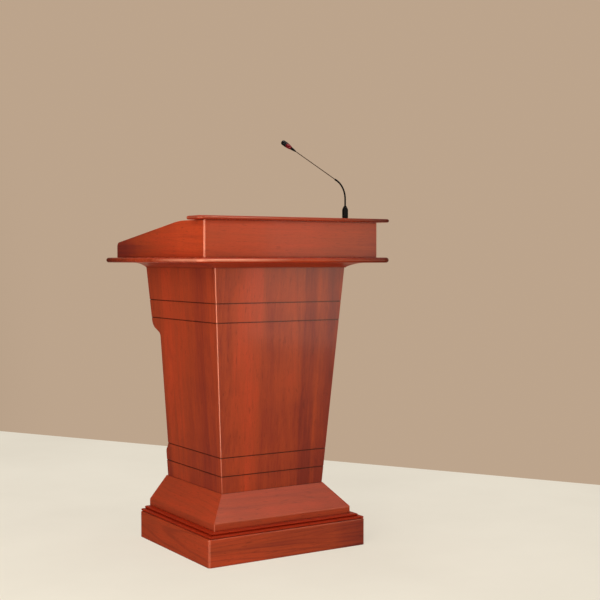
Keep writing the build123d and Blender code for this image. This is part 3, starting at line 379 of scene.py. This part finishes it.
def plastic(name, dark, light, rough, grit, seed, gloss=0.5):
    """Moulded plastic with a fine spark-eroded grain and slightly polished patches."""
    finish = Finish(name, Specular_IOR_Level=gloss)
    grain = finish.noise((grit,) * 3, 2.0, seed)
    patches = finish.noise((45.0,) * 3, 3.0, seed + 5)
    finish.to_shader("Base Color", finish.ramp(finish.total(0.5, (patches, 0.7), (grain, 0.4)),
                                               ((0.0, dark), (1.0, light))))
    finish.to_shader("Roughness", finish.total(rough, (patches, 0.18), (grain, 0.14)))
    finish.to_shader("Normal", finish.bump(grain, 0.00003))
    return finish.material


def red_lens(name):
    """Translucent red plastic, not lit."""
    finish = Finish(name, Specular_IOR_Level=0.25, Specular_Tint=(1.0, 0.5, 0.5, 1.0),
                    Subsurface_Weight=0.3, Subsurface_Radius=(0.004, 0.001, 0.001))
    cloud = finish.noise((260.0,) * 3, 2.0, 3.0)
    finish.to_shader("Base Color", finish.ramp(cloud, ((0.3, (0.10, 0.004, 0.008)),
                                                       (0.7, (0.20, 0.010, 0.016)))))
    finish.to_shader("Roughness", finish.total(0.22, (cloud, 0.1)))
    finish.to_shader("Normal", finish.bump(cloud, 0.00002))
    return finish.material


def dress(material, *nodes):
    """Puts a material on CAD nodes."""
    for node in nodes:
        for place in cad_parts[node].material_slots:
            place.material = material


# Bands of colour in the faces that have a strong figure: place in metres, shade. The box's, cheeks' and
# plinth's bands also hold painted shade: darker towards the right, and on the cheeks towards the back.
FRONT_FIGURE = ((-0.27, 0.44), (-0.20, 0.46), (-0.16, 0.56), (-0.12, 0.70), (-0.070, 0.70),
                (-0.062, 0.52), (0.02, 0.52), (0.06, 0.48), (0.088, 0.48), (0.098, 0.26), (0.138, 0.24),
                (0.152, 0.44), (0.185, 0.38), (0.20, 0.30), (0.27, 0.26))
SIDE_FIGURE = ((-0.27, 0.46), (-0.205, 0.46), (-0.180, 0.40), (-0.155, 0.42), (-0.125, 0.34),
               (-0.095, 0.44), (-0.04, 0.62), (0.03, 0.54), (0.09, 0.66), (0.14, 0.68), (0.19, 0.50),
               (0.27, 0.44))
BOX_FIGURE_AND_SHADE = ((-0.35, 0.70), (0.05, 0.66), (0.20, 0.58), (0.35, 0.42))
CHEEK_FIGURE_AND_SHADE = ((-0.35, 0.84), (-0.15, 0.78), (0.02, 0.62), (0.16, 0.40), (0.26, 0.18), (0.35, 0.12))
PLINTH_FIGURE_AND_SHADE = ((-0.32, 0.58), (0.00, 0.48), (0.18, 0.38), (0.32, 0.12))


def dress_wood():
    dress(wood("wood_front", "Z", 1.0, across="X", figure_and_shade=FRONT_FIGURE, column=True), "front_panel")
    dress(wood("wood_left", "Z", 5.0, across="Y", figure_and_shade=SIDE_FIGURE, gloss=0.6, column=True),
          "left_panel")
    dress(wood("wood_right", "Z", 9.0, across="Y", figure_and_shade=SIDE_FIGURE, gloss=0.6, column=True),
          "right_panel")
    dress(wood("wood_door_left", "Z", 13.0), "door_left")
    dress(wood("wood_door_right", "Z", 17.0), "door_right")
    dress(wood("wood_back_up", "Z", 21.0), "door_stiles", "rear_base_panel")
    dress(wood("wood_back_across", "X", 25.0), "drawer_front", "rear_top_rail", "apron_rail")
    dress(wood("wood_across", "X", 29.0, tone=0.52), "skirt_front")
    dress(wood("wood_reeds", "X", 31.0, tone=0.50, stain=0.7, gloss=0.2), "reed_moulding")
    dress(wood("wood_deep", "Y", 33.0, tone=0.62), "skirt_sides")
    dress(wood("wood_cove_across", "X", 35.0, tone=0.42, stain=0.1, gloss=0.5), "cove_front")
    dress(wood("wood_cove_deep", "Y", 36.0, tone=0.42, stain=0.1, gloss=0.5), "cove_sides")
    dress(wood("wood_plinth_across", "X", 37.0, banded="X", figure_and_shade=PLINTH_FIGURE_AND_SHADE, streaks=1.4, arches=0.3),
          "plinth_front", "plinth_back")
    dress(wood("wood_plinth_deep", "Y", 41.0, tone=0.5, streaks=1.4, arches=0.3, gloss=0.4), "plinth_sides")
    dress(wood("wood_desk_board", "X", 45.0, tone=0.58, gloss=0.5, board=True, highlight=0.85), "desk_board")
    dress(wood("wood_top_board", "X", 47.0, tone=0.50, gloss=0.5, board=True, highlight=0.15), "top_board",
          "book_stop")
    dress(wood("wood_box_across", "X", 49.0, banded="X", figure_and_shade=BOX_FIGURE_AND_SHADE, gloss=0.75), "box_front",
          "box_rear_rail", "equipment_panel", "reading_panel")
    dress(wood("wood_cheeks", "Y", 53.0, banded="Y", figure_and_shade=CHEEK_FIGURE_AND_SHADE, streaks=1.1, gloss=0.6),
          "cheek_left", "cheek_right")


def dress_rest():
    dress(plain_board("inner_board", 2.0), "plinth_top", "corner_blocks", "drawer_supports", "drawer_sides",
          "drawer_back", "drawer_bottom")
    for seed, node in enumerate(("cupboard_floor", "inner_shelf", "drawer_deck"), start=3):
        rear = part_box(node)[1].y
        dress(plain_board(node + "_lipped", seed, rear - LIPPING), node)
    steel = metal("zinc_steel", (0.36, 0.37, 0.38), (0.62, 0.63, 0.63), 0.34, (90.0, 90.0, 900.0), 4.0)
    dress(steel, "desk_screws", "shelf_pins", "frame_hinge_leaves", "door_hinge_leaves_left",
          "door_hinge_leaves_right", "hinge_pins", "runner_outer", "runner_inner", "strike_plate_left",
          "strike_plate_right")
    dress(plastic("black_plastic", (0.010, 0.010, 0.011), (0.028, 0.028, 0.030), 0.5, 1500.0, 8.0),
          "glides", "door_catches")
    dress(plastic("socket_black", (0.008, 0.008, 0.009), (0.022, 0.022, 0.024), 0.42, 2200.0, 9.0),
          "mic_socket", "release_tab", "socket_screws")


# ---- detailed pieces ---------------------------------------------------------
def eased(outline, reach):
    """The outline of (radius, distance) with its corners rounded over that reach."""
    points = [Vector(point) for point in outline]
    result = [points[0]]
    for before, corner, after in zip(points, points[1:], points[2:]):
        back, on = before - corner, after - corner
        first = corner + back.normalized() * min(reach, 0.45 * back.length)
        last = corner + on.normalized() * min(reach, 0.45 * on.length)
        for share in (0.0, 0.25, 0.5, 0.75, 1.0):
            result.append(first.lerp(corner, share).lerp(corner.lerp(last, share), share))
    return result + [points[-1]]


def add_round(build, sections, side, steps):
    """Adds a closed round skin through sections of (middle, way, radius) to the mesh."""
    rings = []
    for middle, way, radius in sections:
        other = way.cross(side)
        turns = [2 * math.pi * step / steps for step in range(steps)]
        rings.append([build.verts.new(middle + radius * (math.cos(turn) * side + math.sin(turn) * other))
                      for turn in turns])
    for low, high in zip(rings, rings[1:]):
        for step in range(steps):
            build.faces.new((low[step - 1], low[step], high[step], high[step - 1]))
    build.faces.new(rings[0])
    build.faces.new(rings[-1])


def round_piece(name, skins, side, material, steps=40):
    """One object from one or more round skins, smooth but for its sharp edges."""
    build = bmesh.new()
    for sections in skins:
        add_round(build, sections, side, steps)
    bmesh.ops.recalc_face_normals(build, faces=build.faces)
    mesh = bpy.data.meshes.new(name)
    build.to_mesh(mesh)
    build.free()
    mesh.materials.append(material)
    mesh.polygons.foreach_set("use_smooth", [True] * len(mesh.polygons))
    mesh.set_sharp_from_angle(angle=math.radians(32))
    piece = bpy.data.objects.new(name, mesh)
    bpy.context.scene.collection.objects.link(piece)
    return piece


def neck_line(distance):
    """The microphone's middle line and its direction that far past the barrel's top."""
    turn = min(max(distance - NECK_UPRIGHT, 0.0) / NECK_BEND, NECK_TURN)
    past = max(distance - NECK_UPRIGHT - NECK_BEND * NECK_TURN, 0.0)
    out = NECK_BEND * (1 - math.cos(turn)) + past * math.sin(turn)
    up = min(distance, NECK_UPRIGHT) + NECK_BEND * math.sin(turn) + past * math.cos(turn)
    way = NECK_WAY * math.sin(turn) + UP * math.cos(turn)
    return NECK_FOOT + NECK_WAY * out + UP * up, way


def mic_piece(name, outline, material, start=0.0, reach=1.0, steps=40, more=()):
    """A round piece on the microphone's line; outline lists (radius, distance past start) in mm."""
    skin = [(*neck_line(start + distance * MM), radius * MM) for radius, distance in eased(outline, reach)]
    piece = round_piece(name, [skin, *more], UP.cross(NECK_WAY), material, steps)
    return piece


def add_barrel(material):
    """The plug's barrel, a cup round its three contact pins, with a grip groove and a coned top."""
    outline = ((0.3, -45.0), (8.0, -45.0), (8.0, -58.5), (9.5, -58.5), (9.5, -44.9), (9.9, -44.4),
               (10.3, -44.0), (10.3, -40.2), (9.8, -39.8), (9.8, -38.9), (10.3, -38.5), (10.3, -14.0),
               (9.4, -10.0), (6.9, -4.6), (5.6, -3.0), (5.6, -1.6), (4.9, -1.2), (4.9, 0.0), (0.3, 0.0))
    pins = []
    for turn in (90, 210, 330):
        angle = math.radians(turn)
        shift = Vector((math.cos(angle), math.sin(angle), 0.0)) * PIN_CIRCLE
        pins.append([(neck_line(distance)[0] + shift, UP, radius)
                     for distance, radius in ((-0.0565, 0.0005), (-0.0560, 0.0012), (-0.0446, 0.0012))])
    barrel = mic_piece("mic_barrel_detail", outline, material, reach=1.6, steps=48, more=pins)
    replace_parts(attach(barrel, "microphone"), "mic_barrel")


def add_neck(material):
    """The ribbed flexible neck, one piece curved along the microphone's line."""
    count = round((NECK_END + 0.001) / (RIB_PITCH / 8))
    skin = []
    for step in range(count + 1):
        distance = -0.001 + (NECK_END + 0.001) * step / count
        rib = math.cos(2 * math.pi * distance / RIB_PITCH)
        skin.append((*neck_line(distance), (2.88 + 0.27 * rib) * MM))
    neck = round_piece("mic_neck_ribbed", [skin], UP.cross(NECK_WAY), material, 28)
    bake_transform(neck)
    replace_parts(neck, "mic_neck_lower", "mic_neck_upper")


def capsule_outline():
    """The capsule in mm past the head's start, with its slits and domed end."""
    outline = [(0.4, RING_END), (8.2, RING_END), (9.2, 46.6), (9.2, 49.4)]
    for slit in range(5):
        at = 49.4 + SLIT_PITCH * slit
        outline += [(8.5, at + 0.2), (8.5, at + 1.0), (9.2, at + 1.2), (9.2, at + SLIT_PITCH)]
    return outline + [(9.2, 66.0), (8.4, 69.2), (6.8, 71.0), (6.0, 71.3), (5.6, 70.6), (3.0, 71.4),
                      (0.4, 71.6)]


def add_head(stem_finish, black, lens, gloss_black):
    """The stem with its ferrule and collar, the red light ring and the slotted capsule."""
    length = STEM_LENGTH / MM
    ferrule = mic_piece("mic_ferrule", ((0.4, -6.5), (3.2, -6.5), (3.2, -2.2), (2.5, -1.2), (2.0, 0.0),
                                        (0.4, 0.0)), black, NECK_END, 0.4)
    stem = mic_piece("mic_stem_rod", ((0.4, -1.0), (1.45, -1.0), (1.45, length + 1.0), (0.4, length + 1.0)),
                     stem_finish, NECK_END, 0.2, 24)
    collar = mic_piece("mic_collar", ((0.4, -0.2), (1.9, -0.2), (2.4, 0.6), (2.7, 3.0), (4.4, 14.0),
                                      (5.1, COLLAR_END), (0.4, COLLAR_END)),
                       black, HEAD_START, 1.5)
    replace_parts(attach(stem, "mic_arm"), "mic_stem")
    ring = mic_piece("mic_ring_lens", ((0.4, COLLAR_END), (5.0, COLLAR_END), (5.4, 23.8), (7.2, 30.0),
                                       (8.1, 37.0), (8.6, 41.5), (8.6, 43.6), (8.2, RING_END),
                                       (0.4, RING_END)),
                     lens, HEAD_START, 2.0, 56)
    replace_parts(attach(ring, "mic_arm"), "mic_light_ring")
    capsule = mic_piece("mic_capsule_grille", capsule_outline(), gloss_black, HEAD_START, 0.9,
                        56)
    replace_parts(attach(capsule, "mic_arm"), "mic_capsule")
    for piece in (ferrule, collar):
        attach(piece, "mic_arm")


KNOB_PROFILE = (                # mm: radius, distance past the board's face
    (2.0, -10.0), (2.0, 0.05), (9.0, 0.05), (9.0, 1.2), (8.0, 2.2), (6.0, 3.4), (5.3, 5.5), (5.3, 9.0),
    (6.8, 11.8), (11.0, 13.8), (13.6, 15.8), (14.4, 18.8), (13.9, 21.4), (12.0, 23.6), (8.0, 25.2),
    (3.0, 25.9), (0.3, 26.0))
KNOB_ROOT = 10 * MM             # how far a knob reaches into its board


def add_knob(node, body, material):
    """A turned knob in place of the plain one, its foot on the board's face."""
    low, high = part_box(node)
    foot = Vector(((low[0] + high[0]) / 2, low[1] + KNOB_ROOT, (low[2] + high[2]) / 2))
    way = Vector((0.0, 1.0, 0.0))
    skin = [(foot + way * distance * MM, way, radius * MM) for radius, distance in eased(KNOB_PROFILE, 1.8)]
    knob = round_piece(node + "_turned", [skin], UP, material, 56)
    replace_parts(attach(knob, body), node)


def add_pieces():
    black = plastic("mic_black", (0.002, 0.002, 0.002), (0.006, 0.006, 0.006), 0.42, 2600.0, 10.0, 0.035)
    rubber = plastic("mic_rubber", (0.002, 0.002, 0.002), (0.005, 0.005, 0.005), 0.55, 3200.0, 11.0, 0.03)
    gloss = plastic("mic_gloss", (0.003, 0.003, 0.004), (0.008, 0.008, 0.009), 0.16, 2600.0, 12.0, 0.12)
    stem = plastic("mic_stem_paint", (0.028, 0.015, 0.008), (0.050, 0.028, 0.014), 0.5, 2600.0, 13.0, 0.04)
    add_barrel(black)
    add_neck(rubber)
    add_head(stem, black, red_lens("mic_red"), gloss)
    brass = metal("brushed_brass", (0.52, 0.34, 0.13), (0.80, 0.58, 0.27), 0.24, (60.0, 700.0, 60.0), 6.0)
    add_knob("door_knob_left", "door_left", brass)
    add_knob("door_knob_right", "door_right", brass)
    add_knob("drawer_knob", "drawer", brass)


# ---- camera, light and stage -------------------------------------------------
def add_camera():
    data = bpy.data.cameras.new("camera")
    data.lens = LENS
    data.sensor_width = 36.0
    camera = bpy.data.objects.new("camera", data)
    azimuth, pitch = math.radians(CAMERA_AZIMUTH), math.radians(CAMERA_PITCH)
    ahead = Vector((-math.sin(azimuth) * math.cos(pitch), math.cos(azimuth) * math.cos(pitch),
                    math.sin(pitch)))
    camera.location = CAMERA_AT
    camera.rotation_euler = ahead.to_track_quat("-Z", "Y").to_euler()
    bpy.context.scene.collection.objects.link(camera)
    bpy.context.scene.camera = camera


def softbox(name, at, toward, size, radiance, colour):
    """An area light of that radiance: its power is radiance times pi times its area."""
    data = bpy.data.lights.new(name, "AREA")
    data.shape = "RECTANGLE"
    data.size, data.size_y = size
    data.energy = radiance * math.pi * size[0] * size[1]
    data.color = colour
    light = bpy.data.objects.new(name, data)
    light.location = at
    light.rotation_euler = (Vector(toward) - Vector(at)).to_track_quat("-Z", "Y").to_euler()
    light.visible_camera = False
    bpy.context.scene.collection.objects.link(light)
    return light


def card(*figures):
    """A softbox that shows only in reflections."""
    softbox(*figures).visible_diffuse = False


def room_share(tree, way, axis, stops):
    """Brightness of the room by direction: stops are (cosine to the axis, brightness)."""
    toward = tree.nodes.new("ShaderNodeVectorMath")
    toward.operation = "DOT_PRODUCT"
    toward.inputs[1].default_value = Vector(axis).normalized()
    tree.links.new(way, toward.inputs[0])
    spread = tree.nodes.new("ShaderNodeMapRange")
    spread.interpolation_type = "SMOOTHSTEP"
    (low, dim), (high, bright) = stops
    for key, value in (("From Min", low), ("From Max", high), ("To Min", dim), ("To Max", bright)):
        spread.inputs[key].default_value = value
    tree.links.new(toward.outputs["Value"], spread.inputs["Value"])
    return spread.outputs[0]


def add_room():
    world = bpy.data.worlds.new("room")
    world.use_nodes = True
    tree = world.node_tree
    way = tree.nodes.new("ShaderNodeTexCoord").outputs["Generated"]
    strength = tree.nodes.new("ShaderNodeMath")
    strength.operation = "MULTIPLY"
    tree.links.new(room_share(tree, way, BRIGHT_SIDE, BRIGHT_STOPS), strength.inputs[0])
    tree.links.new(room_share(tree, way, DARK_CORNER, DARK_STOPS), strength.inputs[1])
    background = tree.nodes["Background"]
    background.inputs["Color"].default_value = (*WALL_LIGHT, 1.0)
    tree.links.new(strength.outputs[0], background.inputs["Strength"])
    bpy.context.scene.world = world


def add_light():
    softbox("window", (-2.2, -2.1, 1.75), (0.0, 0.0, 0.8), (1.1, 1.7), 8.2, (1.0, 0.92, 0.77))
    softbox("top", (-0.2, -0.2, 4.2), (-0.2, -0.2, 0.0), (2.6, 2.6), 3.2, (0.96, 0.99, 1.0))
    card("corner_card", (-0.96, -0.68, 0.60), (-0.2, -0.2, 0.60), (1.9, 1.18), 7.0, (1.0, 0.95, 0.88))
    card("edge_card", (0.42, -1.56, 1.68), (-0.30, -0.38, 1.0), (0.42, 0.66), 17.0, (1.0, 0.90, 0.80))
    card("ceiling_card", (1.1, -1.3, 3.2), (0.0, 0.0, 0.4), (2.2, 2.0), 2.2, (0.75, 0.92, 1.0))
    card("right_card", (1.15, -1.65, 0.85), (0.62, -0.82, 0.85), (0.85, 1.0), 3.8, (0.62, 1.00, 0.96))


def add_floor():
    """A pale floor that ends along a straight edge behind the object."""
    angle = math.radians(FLOOR_EDGE_WAY)
    out = Vector((math.cos(angle), math.sin(angle), 0.0))
    along = Vector((-math.sin(angle), math.cos(angle), 0.0))
    corners = [out * a + along * b for a, b in ((FLOOR_EDGE_AT, -FLOOR_REACH), (FLOOR_EDGE_AT, FLOOR_REACH),
                                                (-FLOOR_REACH, FLOOR_REACH), (-FLOOR_REACH, -FLOOR_REACH))]
    mesh = bpy.data.meshes.new("floor")
    mesh.from_pydata(corners, [], [(0, 1, 2, 3)])
    floor = bpy.data.objects.new("floor", mesh)
    bpy.context.scene.collection.objects.link(floor)
    floor.visible_glossy = False
    finish = Finish("pale_floor", Specular_IOR_Level=0.0, Emission_Strength=FLOOR_GLOW)
    cloud = finish.noise((1.6, 1.6, 1.6), 4.0, 1.0)
    pale = finish.ramp(cloud, ((0.3, (0.236, 0.222, 0.190)), (0.7, (0.247, 0.233, 0.200))))
    finish.to_shader("Base Color", pale)
    finish.to_shader("Emission Color", pale)
    finish.to_shader("Roughness", finish.total(0.55, (cloud, 0.1)))
    mesh.materials.append(finish.material)


add_camera()
add_room()
add_light()
add_floor()
dress_wood()
dress_rest()
add_pieces()
bpy.context.scene.view_settings.view_transform = "Standard"
